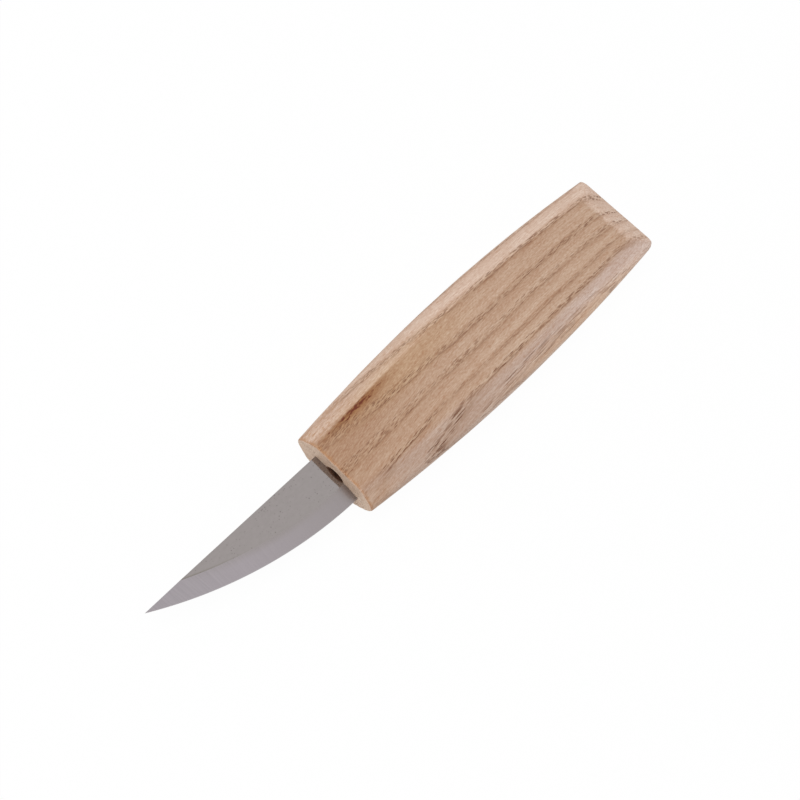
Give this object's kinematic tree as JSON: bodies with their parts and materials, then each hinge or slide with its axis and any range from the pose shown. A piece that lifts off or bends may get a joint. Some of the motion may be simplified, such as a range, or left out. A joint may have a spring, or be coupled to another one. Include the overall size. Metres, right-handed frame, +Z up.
{
  "type": "wood carving knife",
  "caption": "Fixed-blade wood carving knife: short double-bevelled steel blade with a curved edge, its tang glued into a barrel-shaped eight-sided ash handle.",
  "frame": {"origin": "under the middle of the knife's box, on the surface that the handle's broad side lies on", "axes": "+X towards the tip of the blade, +Y towards the cutting edge, +Z up from the broad side that the knife lies on"},
  "size_m": [0.1708, 0.0318, 0.02],
  "materials": {
    "blade_steel": "ground bevels, satin flats",
    "handle_ash": "sanded and lightly oiled ash",
    "adhesive": "cured amber epoxy"
  },
  "bodies": {
    "root": {"blade": "blade_steel", "handle": "handle_ash", "tang_adhesive": "adhesive"}
  },
  "joints": []
}
